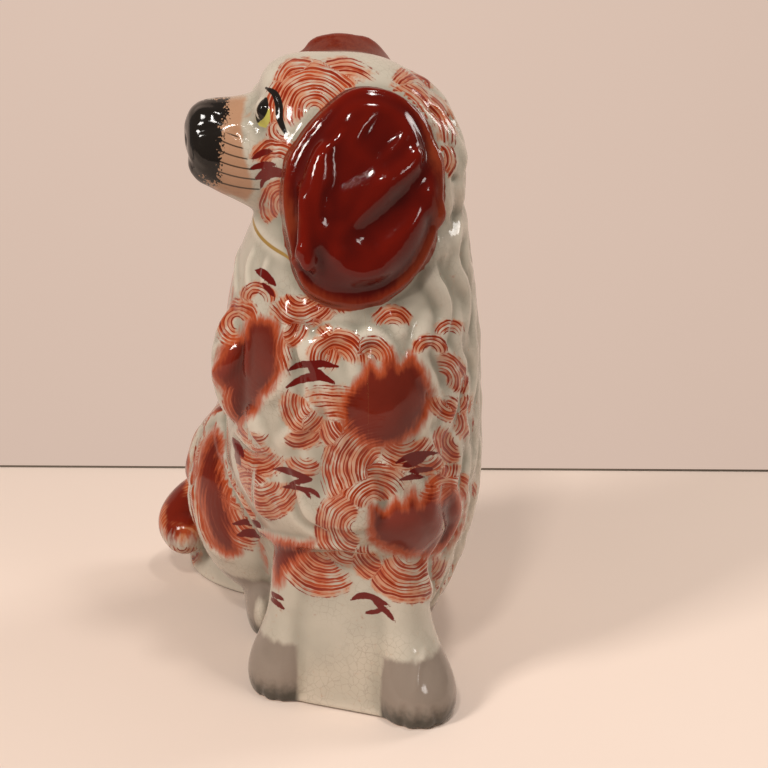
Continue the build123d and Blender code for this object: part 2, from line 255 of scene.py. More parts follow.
# Brush-lined whorls: centre, inner and outer radius in pixels, start and sweep in degrees, clockwise
# from the right
WHORLS_PX = [
    (314, 112, 4, 54, 140, 240), (277, 168, 7, 34, 185, 190), (287, 206, 3, 32, 125, 240),
    (370, 148, 48, 84, 280, 70), (432, 160, 3, 27, 290, 170), (284, 130, 3, 20, 50, 220),
    (238, 323, 3, 28, 80, 280), (258, 300, 3, 22, 160, 230), (302, 288, 6, 44, 5, 160),
    (338, 362, 5, 36, 165, 210), (371, 360, 3, 27, 170, 210), (330, 524, 72, 144, 250, 42),
    (452, 398, 2, 27, 340, 210), (430, 352, 3, 22, 165, 220), (256, 424, 7, 25, 30, 230),
    (284, 396, 12, 56, 10, 75), (258, 436, 8, 46, 35, 115), (262, 478, 4, 46, 5, 170),
    (382, 470, 6, 64, 110, 170), (375, 508, 6, 50, 165, 170), (358, 527, 5, 46, 75, 210),
    (326, 546, 6, 54, 45, 150), (410, 554, 6, 52, 0, 180), (384, 545, 10, 42, 75, 115),
    (450, 500, 4, 33, 185, 180), (182, 545, 3, 26, 0, 190), (330, 480, 100, 146, 154, 52),
    (258, 506, 10, 48, 80, 115), (304, 350, 16, 40, 290, 120), (460, 440, 4, 30, 80, 150),
    (330, 318, 4, 30, 200, 150), (392, 330, 5, 28, 190, 160), (250, 400, 6, 30, 100, 150),
    (306, 452, 5, 28, 30, 140), (426, 452, 4, 26, 0, 170), (228, 480, 4, 26, 60, 180),
    (345, 350, 50, 76, 150, 62), (312, 334, 4, 26, 150, 180), (318, 402, 6, 42, 95, 115),
    (300, 420, 6, 32, 10, 130), (440, 380, 4, 32, 250, 160), (450, 338, 4, 22, 180, 170),
    (446, 422, 4, 30, 250, 170), (404, 428, 14, 46, 15, 130), (340, 122, 42, 68, 232, 80),
    (400, 140, 34, 62, 285, 90), (300, 500, 66, 114, 145, 80), (268, 372, 10, 44, 110, 120),
    (244, 500, 6, 40, 150, 180), (430, 470, 6, 36, 330, 150), (352, 420, 6, 40, 60, 140),
    (280, 320, 6, 34, 330, 130), (414, 92, 6, 30, 190, 170), (300, 84, 4, 30, 150, 180),
]
EAR_OUTLINE_PX = [
    (345, 100), (355, 91), (365, 90), (392, 97), (412, 112), (421, 130), (427, 160), (439, 175), (441, 195),
    (435, 232), (417, 265), (392, 295), (370, 307), (345, 307), (325, 297), (300, 280), (296, 270),
    (294, 245), (302, 220), (292, 180), (297, 165), (312, 137), (330, 117),
]
# Solid patches of the coat, in pixels
PATCHES_PX = [
    [(242, 336), (250, 318), (276, 322), (280, 345), (279, 372), (271, 388), (262, 396), (258, 408),
     (244, 420), (232, 424), (228, 405), (226, 392), (214, 380), (209, 374), (218, 360), (222, 348)],
    [(360, 380), (370, 362), (380, 374), (390, 350), (400, 368), (411, 354), (424, 372), (431, 392),
     (427, 413), (416, 431), (398, 444), (378, 447), (360, 441), (346, 427), (341, 408), (347, 394)],
    [(372, 506), (385, 512), (396, 500), (404, 508), (412, 490), (420, 505), (432, 480), (440, 500),
     (452, 482), (462, 500), (464, 518), (457, 535), (446, 548), (430, 556), (405, 555), (385, 548),
     (372, 540), (370, 525)],
    [(262, 535), (275, 540), (300, 545), (312, 543), (305, 556), (292, 565), (284, 570), (280, 585),
     (276, 583), (270, 565), (265, 552)],
    [(196, 478), (200, 455), (208, 440), (216, 430), (222, 440), (222, 470), (226, 490), (232, 515),
     (236, 540), (240, 552), (228, 556), (214, 545), (206, 528), (200, 505)],
]
# Dark dabs over the coat: half width and places in pixels
DABS_PX = [
    (3.4, [(252, 159), (262, 153), (272, 151)]), (3.4, [(250, 169), (262, 165), (276, 164)]),
    (5.5, [(257, 178), (270, 172), (288, 174)]), (2.6, [(261, 188), (264, 180), (273, 176)]),
    (4.4, [(256, 270), (264, 274), (275, 285)]), (2.9, [(262, 283), (269, 290), (274, 296)]),
    (3.9, [(288, 370), (300, 365), (315, 364), (325, 364), (338, 367)]),
    (4.4, [(287, 387), (300, 380), (312, 377), (322, 377), (334, 383)]),
    (4.4, [(308, 366), (316, 372), (326, 378)]), (4.7, [(227, 438), (236, 445), (243, 456)]),
    (3.9, [(231, 449), (236, 457), (240, 464)]), (3.4, [(274, 469), (285, 470), (298, 475), (312, 479)]),
    (2.9, [(289, 484), (302, 481), (312, 480)]), (2.6, [(282, 487), (293, 487), (304, 490), (311, 499)]),
    (2.6, [(299, 488), (312, 491), (320, 498)]), (3.4, [(396, 463), (408, 457), (420, 454), (438, 453)]),
    (4.2, [(403, 466), (414, 462), (425, 458)]), (2.9, [(409, 472), (420, 470), (434, 469)]),
    (2.9, [(400, 480), (412, 477), (424, 477)]), (3.6, [(233, 524), (246, 522), (256, 524), (263, 528)]),
    (4.4, [(238, 535), (250, 533), (265, 537)]), (2.6, [(268, 591), (275, 595), (284, 600)]),
    (2.6, [(270, 598), (277, 603), (284, 609)]), (3.4, [(351, 600), (360, 596), (372, 597), (390, 606)]),
    (3.1, [(371, 598), (380, 606), (387, 612), (395, 622)]), (2.6, [(364, 613), (373, 612), (382, 611)]),
    (3.4, [(334, 46), (341, 49), (348, 46)]), (3.4, [(354, 44), (361, 48), (368, 50)]),
]
NOSE_PX = [
    [(184, 100), (187, 96), (228, 98), (226, 106), (230, 112), (224, 120), (222, 127), (222, 140),
     (220, 158), (219, 182), (212, 184), (186, 168), (180, 140)],
]
EYE_BLACK_PX = [
    (5.6, [(266, 99), (262, 110), (258, 121)]),
    (4.0, [(266, 88), (275, 94), (279, 106), (280, 120), (287, 136)]),
]
EYE_YELLOW_PX = [[(255, 117), (261, 121), (267, 108), (270, 109), (270, 121), (266, 128), (259, 126)]]
MUZZLE_PX = [
    [(214, 96), (246, 97), (241, 127), (242, 145), (250, 172), (254, 190), (246, 201), (230, 195), (212, 184),
     (200, 178)],
]
WHISKER_CENTRE_PX = (262, 60)
WHISKER_ZONE_PX = [[(219, 130), (238, 134), (249, 160), (262, 192), (246, 198), (214, 182), (216, 160)]]
EAR_MIDDLE_PX = (365, 200)
EAR_HALF_PX = 70

# Paint on the skin
UNPAINTED = -12.0          # signed distance in millimetres where there is no paint
WHORL_END_RAMP = 42        # degrees over which a whorl fades out at its ends
WHORL_EDGE_RAMP_PX = 10
WHORL_MARGIN_PX = 2
WHORL_MEETING = 3          # how sharply two whorls part
STROKE_END_SHARE = 0.12
EDGE_REACH = 6
SPREAD_STEPS = 4
RELIEF_STEPS = 30
BARE_TURN = 0.75           # how far down the underside faces where it is bare of glaze
BARE_SLOPE = 8
EAR_RIM_WAY = (0.6, 0.8)   # to the lower right, where the rim of the ear is bare of folds
EAR_RIM_DROP = 3.5
FAR_EAR_RIM = 2.2

# Grey paws and gilt collar, in millimetres
SHOW_PAW_PLACE = np.array([61.1, -20.4])
PLAIN_PAW_PLACE = np.array([93.2, 42.6])
HIND_PAW_PLACE = np.array([-11.7, -28.9])
SHOW_PAW_REACH = 16.0
PLAIN_PAW_REACH = 13.0
FORE_PAWS_BACK = 26.0
SHOW_PAW_TOP = 33.0
PLAIN_PAW_TOP = 34.0
HIND_PAW_TOP = 34.0
HIND_PAW_RADIUS = 24.0
COLLAR_SLOPE = 14.0        # degrees
COLLAR_HEIGHT = 239.0
NO_COLLAR = 9.0

# The show side, in its own picture: centre and radius of each solid patch with its whorls, then dabs
SIDE_PATCHES_PX = [(286, 542, 40), (400, 372, 36), (268, 400, 27), (340, 462, 20), (452, 300, 18)]
SIDE_FEATHER_SHARES = (1.0, 0.82, 1.12, 0.78, 0.98, 0.74, 1.05, 0.86, 1.2, 0.8, 0.95, 0.72, 1.1, 0.84)
SIDE_WHORL_SHARES = [(0.2, 1.5), (1.35, 1.42), (2.5, 1.5), (3.6, 1.38), (4.75, 1.48), (5.7, 1.36)]
SIDE_WHORL_TURN_PX = 40
SIDE_WHORL_INNER_PX = 4
SIDE_WHORL_OUTER_SHARE = 0.95
SIDE_WHORL_START = -100
SIDE_WHORL_SWEEP = 230
SIDE_DABS_PX = [
    (2.8, [(330, 396), (342, 392), (356, 394)]), (2.6, [(334, 404), (346, 402), (360, 405)]),
    (2.8, [(226, 470), (236, 476), (248, 480)]), (2.6, [(232, 484), (243, 488), (252, 494)]),
    (2.8, [(380, 470), (394, 468), (408, 474)]), (2.4, [(386, 480), (398, 480), (410, 486)]),
    (2.6, [(356, 300), (368, 298), (382, 302)]), (2.4, [(362, 309), (373, 308), (386, 313)]),
    (2.6, [(350, 580), (362, 578), (374, 582)]), (2.6, [(486, 560), (494, 566), (502, 574)]),
]
SIDE_NOSE_PX = [
    [(447, 116), (474, 106), (502, 116), (514, 140), (510, 165), (494, 184), (474, 190), (454, 184),
     (438, 165), (434, 140)],
]
SIDE_MUZZLE_PX = [
    [(440, 110), (508, 110), (514, 150), (504, 190), (474, 200), (444, 190), (434, 150)],
]

# Noises in the materials: size of their features in millimetres, detail and stretch upwards
NOISES = {
    "cloud": (60.0, 2.0, 1), "soft": (26.0, 2.0, 1), "fine": (3.0, 2.0, 1), "streak": (2.0, 3.0, 3.5),
    "crazed": (30.0, 2.0, 1), "ragged": (2.6, 3.0, 1), "bend": (18.0, 2.0, 1), "patchy": (7.0, 2.0, 1),
    "wash": (11.0, 2.0, 1), "line_dark": (14.0, 2.0, 1), "tail_bend": (9.0, 2.0, 1),
    "tail_patch": (16.0, 2.0, 1), "tan_edge": (6.0, 2.0, 1), "stipple": (1.2, 3.0, 1),
    "paw_edge": (5.0, 2.0, 4), "ripple": (8.0, 1.0, 1), "bare": (2.0, 4.0, 1), "grain": (1.5, 4.0, 1),
    "clay": (18.0, 2.0, 1), "paper": (300.0, 2.0, 1),
}
# Edges of the paint: values at which a paint begins and covers, its strength, and how far noise moves it
EDGES = {
    # hollow, first on this line: white glaze greyer in the hollows of the relief, by glaze pooling and
    # painted shade
    "hollow": (-1.0, 0.9, 1.0, 1.2), "warm": (0.5, 0.8, 0.3, 0.0), "crazed": (0.35, 0.7, 1.0, 0.0),
    "whorl": (-0.02, 0.6, 1.0, 0.7), "wash": (0.0, 0.7, 1.0, 0.0), "wash_area": (0.30, 0.62, 0.75, 0.0),
    "line": (-0.35, 0.6, 1.0, 0.0), "line_dark": (-0.1, 1.0, 1.0, 2.0), "line_area": (0.02, 0.25, 1.0, 0.0),
    # first on this line: red darker in the hollows of the relief, by glaze pooling and painted shade
    "hollow_pooling_and_shade": (-1.4, 1.6, 1.0, 1.6), "patch": (-4.0, 0.8, 0.985, 5.0), "patch_deep": (-0.5, 4.5, 1.0, 5.0),
    "tail": (-0.6, 1.2, 1.0, 4.0), "tail_height": (22.0, 34.0, 1.0, 16.0),
    "tail_brush": (-0.9, 0.2, 1.0, 2.0), "tail_patch": (0.42, 0.6, 1.0, 0.0),
    "dab": (-0.15, 0.25, 1.0, 1.0), "tan": (-1.5, 1.5, 0.85, 3.0),
    "whisker": (0.80, 0.97, 0.85, 0.0), "whisker_zone": (0.0, 1.0, 1.0, 0.0), "yellow": (-0.2, 0.2, 1.0, 0.0),
    "liner": (-0.15, 0.2, 1.0, 0.0), "black": (-0.2, 0.3, 1.0, 13.0), "paw": (-0.4, 3.0, 0.92, 5.0),
    # foot, last on this line: painted shadow along the bottom where the figure meets the table
    "paw_height": (3.0, 14.0, 1.0, 6.0), "gilt": (0.0, 0.4, 1.0, 0.0), "foot": (1.6, 0.4, 0.8, 0.0),
    "rim": (6.0, -2.0, 0.75, 5.0), "ear": (-0.3, 0.4, 1.0, 1.2),
}
BRUSH_LINES = ((1.75, 0.6), (0.81, 0.3), (4.7, 0.5))    # spacing in millimetres and share of each wave
WHORL_BEND = 5.0
LINE_LIMIT = 1.1
LINE_GAIN = 2.8
COMBING = 1.6
TAIL_LINE_TURN = 3.0       # radians of the tail's brush lines per millimetre
TAIL_BEND = 9.0
WHISKER_SPACING = 4.9
COLLAR_HALF_WIDTH = 0.9
CRACK_CELL = 3.4
CRACK_WIDTH = 0.16
CRACK_BEND_SIZE_SHARE = 0.8
CRACK_BEND_SHARE = 0.35
CRACK_STRENGTH = 0.4
CRACK_DEPTH = 0.04
GLAZE_SPECULAR = 0.26
COAT_WEIGHT = 0.06
COAT_ROUGHNESS = 0.03
CLAY_ROUGHNESS = 0.85
PAPER_ROUGHNESS = 0.6
GLAZE_ROUGHNESS = 0.05
ROUGHNESS_SPREAD = 0.06
BARE_ROUGHNESS = 0.75
BARE_GREY = 0.5
RIPPLE_HEIGHT = 1.0 * MM
RIPPLE_STRENGTH = 0.22
GRAIN_HEIGHT = 0.3 * MM
GRAIN_STRENGTH = 0.4
PAPER_CLOUDS = 0.12

# Colours of the clay, glaze and paint, and of painted shade in the hollows, linear
WHITE = (0.55, 0.485, 0.395)
# grey of the white glaze in the hollows of the relief: glaze pooled there, and painted shade
POOLED_GLAZE_AND_SHADE_GREY = (0.27, 0.245, 0.19)
WARM = (0.50, 0.39, 0.28)
# red of the paint in the hollows of the relief: glaze pooled there, and painted shade
RED_POOLED_AND_SHADED = (0.060, 0.004, 0.001)
RED = (0.19, 0.014, 0.004)
RED_LIGHT = (0.37, 0.062, 0.018)
ORANGE = (0.47, 0.165, 0.070)
# ear red in the hollows of its folds: glaze pooled there, and painted shade
EAR_POOLED_AND_SHADED = (0.040, 0.001, 0.0004)
EAR_RED = (0.135, 0.005, 0.001)
EAR_RIM = (0.22, 0.035, 0.011)
DAB = (0.115, 0.006, 0.004)
BLACK = (0.012, 0.009, 0.007)
TAN = (0.38, 0.185, 0.095)
YELLOW = (0.42, 0.37, 0.08)
GOLD = (0.30, 0.18, 0.05)
GREY = (0.22, 0.17, 0.135)
GREY_DARK = (0.03, 0.025, 0.018)
CLAY = (0.60, 0.50, 0.38)
CRACK = (0.16, 0.13, 0.10)


class Picture:
    """A fixed view of the figure in which places on it are given in pixels."""

    def __init__(self, azimuth, elevation, target):
        turn, tilt = math.radians(azimuth), math.radians(elevation)
        away = [math.sin(turn) * math.cos(tilt), -math.cos(turn) * math.cos(tilt), math.sin(tilt)]
        self.back = np.array(away)
        self.right = np.array([math.cos(turn), math.sin(turn), 0.0])
        self.up = np.cross(self.back, self.right)
        self.target = np.array(target)

    def project(self, points):
        """Pixel coordinates of points and how far they lie from the camera."""
        away = points - self.target
        depth = CAMERA_DISTANCE - away @ self.back
        u = PICTURE_SIZE / 2 + FOCAL * (away @ self.right) / depth
        v = PICTURE_SIZE / 2 - FOCAL * (away @ self.up) / depth
        return u, v, depth


PHOTO = Picture(CAMERA_AZIMUTH, CAMERA_ELEVATION, CAMERA_TARGET)
SIDE = Picture(SIDE_AZIMUTH, SIDE_ELEVATION, SIDE_TARGET)


def node_mesh(name):
    """Corner points and triangles of a CAD node."""
    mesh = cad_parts[name].data
    mesh.calc_loop_triangles()
    points = np.empty(len(mesh.vertices) * 3, np.float32)
    mesh.vertices.foreach_get("co", points)
    triangles = np.empty(len(mesh.loop_triangles) * 3, np.int32)
    mesh.loop_triangles.foreach_get("vertices", triangles)
    return points.reshape(-1, 3), triangles.reshape(-1, 3).astype(np.uint32)


def post_mesh(start, end, radius):
    """A short round post between two places, which keeps the hollow shut while the skin is made."""
    start, end = np.array(start), np.array(end)
    way = (end - start) / np.linalg.norm(end - start)
    across = np.cross(way, (1, 0, 0))
    angles = 2 * math.pi * np.arange(POST_SIDES) / POST_SIDES
    ring = radius * (np.outer(np.cos(angles), across) + np.outer(np.sin(angles), np.cross(way, across)))
    triangles = []
    for k in range(POST_SIDES):
        n = (k + 1) % POST_SIDES
        triangles += [(k, n, POST_SIDES + n), (k, POST_SIDES + n, POST_SIDES + k)]
        if 0 < k < POST_SIDES - 1:
            triangles += [(0, k + 1, k), (POST_SIDES, POST_SIDES + k, POST_SIDES + k + 1)]
    return np.concatenate([start + ring, end + ring]).astype(np.float32), np.array(triangles, np.uint32)


def post_meshes():
    """Posts that stop the vent and the thin place at the back of the head."""
    vent = [(*VENT_PLACE, height) for height in (0.0, BASE_HEIGHT)]
    nape = [(HEAD_MIDDLE_X, y, NAPE_HEIGHT) for y in NAPE_POST_Y]
    return [post_mesh(*vent, VENT_RADIUS + VOXEL), post_mesh(*nape, NAPE_RADIUS)]


def level_set(points, faces, outer_band, inner_band):
    transform = vdb.createLinearTransform(voxelSize=VOXEL)
    return vdb.FloatGrid.createLevelSetFromPolygons(
        points, **faces, transform=transform, exBandWidth=outer_band, inBandWidth=inner_band
    )


def enclosed(solid):
    """The hollow places that have something solid on all six sides."""
    hollow = ~solid
    for axis in range(3):
        before = np.logical_or.accumulate(solid, axis)
        after = np.flip(np.logical_or.accumulate(np.flip(solid, axis), axis), axis)
        hollow &= before & after
    return hollow


class Clay:
    """The whole figure as one field of signed distances, with its creases filled round."""

    def __init__(self):
        all_points = []
        all_triangles = []
        count = 0
        for points, triangles in [node_mesh(name) for name in SLOTS] + post_meshes():
            all_points.append(points)
            all_triangles.append(triangles + np.uint32(count))
            count += len(points)
        fillet_voxels = FILLET / VOXEL
        faces = {"triangles": np.concatenate(all_triangles)}
        corners = np.concatenate(all_points)
        self.low = np.floor(corners.min(axis=0) / VOXEL).astype(int) - GRID_MARGIN
        high = np.ceil(corners.max(axis=0) / VOXEL).astype(int) + GRID_MARGIN
        self.field = np.zeros(tuple(high - self.low + 1), np.float32)
        grid = level_set(corners, faces, fillet_voxels + NARROW_BAND, NARROW_BAND)
        self.fetch(grid)
        self.field[enclosed(self.field < 0)] = -VOXEL
        points, quads = self.grid(FILLET + VOXEL).convertToQuads(isovalue=FILLET)
        grid = level_set(points, {"quads": quads}, BAND_VOXELS, BAND_VOXELS + fillet_voxels)
        self.fetch(grid)
        self.field += np.float32(FILLET)

    def fetch(self, grid):
        grid.copyToArray(self.field, ijk=tuple(int(i) for i in self.low))

    def grid(self, limit):
        """The field as a sparse grid, cut off at a limit."""
        grid = vdb.FloatGrid(float(limit))
        grid.copyFromArray(np.clip(self.field, -limit, limit), ijk=tuple(int(i) for i in self.low))
        grid.transform = vdb.createLinearTransform(voxelSize=VOXEL)
        return grid

    def bore(self, place, radius, depth):
        """A hole from below."""
        axes = [(np.arange(count) + low) * VOXEL for count, low in zip(self.field.shape, self.low)]
        away = np.hypot(axes[0][:, None] - place[0], axes[1][None, :] - place[1])
        hole = np.minimum(radius - away[:, :, None], depth - axes[2][None, None, :])
        self.field = np.maximum(self.field, hole.astype(np.float32))

    def smooth(self, times):
        for _ in range(times):
            for axis in range(3):
                before = np.roll(self.field, 1, axis)
                after = np.roll(self.field, -1, axis)
                self.field = (before + 2 * self.field + after) / 4

    def press(self, places, half_width, height):
        """Raises a soft ridge along the places, or presses a groove where the height is negative."""
        places = np.asarray(places, float)
        shape = np.array(self.field.shape)
        first = np.floor((places.min(axis=0) - half_width) / VOXEL).astype(int) - self.low
        last = np.ceil((places.max(axis=0) + half_width) / VOXEL).astype(int) - self.low + 1
        first, last = np.clip(first, 0, shape), np.clip(last, 0, shape)
        if np.any(last <= first):
            return
        axes = [(np.arange(first[k], last[k]) + self.low[k]) * VOXEL for k in range(3)]
        spots = np.stack(np.meshgrid(*axes, indexing="ij"), axis=-1).reshape(-1, 3)
        away, along = line_distance(spots, places)
        share = np.clip(away / half_width, 0, 1)
        ends = np.minimum(1, 4 * along * (1 - along) + RIDGE_END_SHARE) if len(places) > 2 else 1.0
        rise = height * (1 - share ** 2) ** 2 * ends
        part = tuple(slice(a, b) for a, b in zip(first, last))
        self.field[part] -= rise.reshape(self.field[part].shape).astype(np.float32)

    def mesh(self):
        """Points and quads of the clay's surface, wound so that they face out."""
        points, quads = self.grid(BAND_VOXELS * VOXEL).convertToQuads(isovalue=0.0)
        points = points.astype(np.float64)
        quads = quads.astype(np.int64)
        a, b, c = (points[quads[:, k]] for k in range(3))
        if np.einsum("ij,ij->", a, np.cross(b, c)) < 0:
            quads = quads[:, ::-1]
        return points, quads


def line_distance(spots, places):
    """Distance of each spot from a line through the places, and how far along the line it is nearest."""
    best = np.full(len(spots), np.inf)
    along = np.zeros(len(spots))
    steps = len(places) - 1
    for k in range(steps):
        start, way = places[k], places[k + 1] - places[k]
        share = np.clip((spots - start) @ way / max(way @ way, TINY), 0, 1)
        away = np.linalg.norm(spots - start - share[:, None] * way, axis=1)
        closer = away < best
        best[closer] = away[closer]
        along[closer] = (k + share[closer]) / steps
    return best, along


def eased(places, steps):
    """Smooth places on a curve through the given ones."""
    places = np.asarray(places, float)
    if len(places) < 3:
        return places
    padded = np.concatenate([[2 * places[0] - places[1]], places, [2 * places[-1] - places[-2]]])
    result = []
    for k in range(1, len(padded) - 2):
        a, b, c, d = padded[k - 1:k + 3]
        for t in np.arange(steps) / steps:
            square = (2 * a - 5 * b + 4 * c - d) * t ** 2
            cube = (3 * b - a - 3 * c + d) * t ** 3
            result.append((2 * b + (c - a) * t + square + cube) / 2)
    result.append(places[-1])
    return np.array(result)


def point_normals(points, quads):
    diagonals = np.cross(points[quads[:, 2]] - points[quads[:, 0]], points[quads[:, 3]] - points[quads[:, 1]])
    normals = np.stack([
        sum(np.bincount(quads[:, k], diagonals[:, axis], len(points)) for k in range(4)) for axis in range(3)
    ], axis=1)
    return normals / np.maximum(np.linalg.norm(normals, axis=1, keepdims=True), TINY)


class Skin:
    """A surface mesh with what can be seen of it in a picture."""

    def __init__(self, points, quads):
        self.points = points
        self.quads = quads
        self.normals = point_normals(points, quads)
        lines = np.concatenate([quads[:, [k, (k + 1) % 4]] for k in range(4)])
        self.edges = np.unique(np.sort(lines, axis=1), axis=0)

    def nearest_depth(self, picture):
        """The smallest depth in each cell of the picture."""
        u, v, depth = picture.project(self.points)
        cells = PICTURE_SIZE // DEPTH_CELL_PX
        column = np.clip((u // DEPTH_CELL_PX).astype(int), 0, cells - 1)
        row = np.clip((v // DEPTH_CELL_PX).astype(int), 0, cells - 1)
        front = np.full((cells, cells), np.inf)
        np.minimum.at(front, (column, row), depth)
        return front

    def seen(self, picture, points, facing):
        """Pixel coordinates of the points, and whether each can be seen."""
        front = self.nearest_depth(picture)
        u, v, depth = picture.project(points)
        cells = len(front)
        column = np.clip((u // DEPTH_CELL_PX).astype(int), 0, cells - 1)
        row = np.clip((v // DEPTH_CELL_PX).astype(int), 0, cells - 1)
        return u, v, (depth < front[column, row] + HIDDEN_DEPTH) & (facing > SEEN_AT_ALL)

    def spots(self, picture, places):
        """Where pixel places lie on the surface."""
        u, v, seen = self.seen(picture, self.points, self.normals @ picture.back)
        index = np.nonzero(seen)[0]
        found = []
        for place in places:
            away = (u[index] - place[0]) ** 2 + (v[index] - place[1]) ** 2
            found.append(self.points[index[np.argmin(away)]])
        return np.array(found)


def coat_locks(clay, skin):
    """Rows of wavy locks down the plain side and the back."""
    for row, height in enumerate(np.arange(LOCK_LOWEST, LOCK_HIGHEST, LOCK_ROW_STEP)):
        for turn in range(LOCK_TURNS):
            angle = math.radians(LOCK_START_ANGLE + LOCK_SWEEP * (turn + 0.5 * (row % 2)) / LOCK_TURNS)
            press_lock(clay, skin.points, angle, height * MM, 1 if row % 2 else -1)


def press_lock(clay, points, angle, height, side):
    """One lock of the coat at an angle round the trunk's axis, counted from +X towards +Y."""
    axis_x = LOCK_FOOT_X + LOCK_LEAN * min(height / MM / LOCK_LEAN_TOP, 1)
    axis_y = TRUNK_AXIS_Y if height < HEAD_BOTTOM else HEAD_AXIS_Y
    way = np.array([math.cos(angle), math.sin(angle)])
    across = np.array([-way[1], way[0]])
    places = []
    for step in np.linspace(0, 1, LOCK_PLACES):
        sway = side * LOCK_SWAY * MM * math.sin(math.pi * (LOCK_WAVES * step - LOCK_WAVE_START))
        z = height + (0.5 - step) * LOCK_LENGTH * MM
        near = points[np.abs(points[:, 2] - z) < LOCK_SLICE * MM]
        if not len(near):
            return
        flat = near[:, :2] - (axis_x * MM, axis_y * MM)
        lateral = np.abs(flat @ across - sway)
        out = flat @ way - OUT_OF_STRIP * (lateral > LOCK_STRIP * MM)
        places.append(near[np.argmax(out)])
    places = np.array(places)
    if np.max(np.linalg.norm(np.diff(places, axis=0), axis=1)) < LOCK_BREAK * MM:
        clay.press(places, LOCK_HALF_WIDTH * MM, LOCK_HEIGHT * MM)
        beside = places + side * across_shift(places)
        clay.press(beside, LOCK_HALF_WIDTH * LOCK_GROOVE_SHARE * MM, -LOCK_GROOVE_DEPTH * MM)


def across_shift(places):
    """A step sideways from a lock, level and across its length."""
    way = places[-1] - places[0]
    shift = np.cross(way / max(np.linalg.norm(way), TINY), (0, 0, 1))
    length = np.linalg.norm(shift)
    return shift / length * LOCK_HALF_WIDTH * MM if length > LEVEL_WAY else shift * 0


def mirrored(places):
    return places * (-1, 1, 1) + (2 * HEAD_MIDDLE_X, 0, 0)


def model_clay():
    """Works the relief into the clay and returns its surface."""
    clay = Clay()
    clay.smooth(1)
    blank = Skin(*clay.mesh())
    coat_locks(clay, blank)
    for half_width, height, places in RELIEF_PX + EAR_RELIEF_PX + PAW_RELIEF_PX:
        clay.press(eased(blank.spots(PHOTO, places), CURVE_STEPS), half_width * MM, height * MM)
    for half_width, height, places in MUZZLE_RELIEF_PX:
        clay.press(eased(blank.spots(SIDE, places), CURVE_STEPS), half_width * MM, height * MM)
    for half_width, height, places in FACE_RELIEF_PX:
        line = eased(blank.spots(PHOTO, places), CURVE_STEPS)
        clay.press(line, half_width * MM, height * MM)
        clay.press(mirrored(line), half_width * MM, height * MM)
    clay.smooth(1)
    clay.bore(VENT_PLACE, VENT_RADIUS, BASE_HEIGHT + 2 * VOXEL)
    points, quads = clay.mesh()
    low, high = (np.array(corner) for corner in CAD_BOX)
    return Skin(np.clip(points, low, high), quads)


def inside_distance(u, v, corners):
    """Signed distance in pixels to the edge of a polygon, positive inside."""
    corners = np.asarray(corners, float)
    best = np.full(len(u), np.inf)
    inside = np.zeros(len(u), bool)
    for (ax, ay), (bx, by) in zip(corners, np.roll(corners, -1, axis=0)):
        wx, wy = bx - ax, by - ay
        share = np.clip(((u - ax) * wx + (v - ay) * wy) / (wx * wx + wy * wy), 0, 1)
        best = np.minimum(best, np.hypot(u - ax - share * wx, v - ay - share * wy))
        crosses = (ay > v) != (by > v)
        if wy:
            inside ^= crosses & (u < ax + (v - ay) * wx / wy)
    return np.where(inside, best, -best)


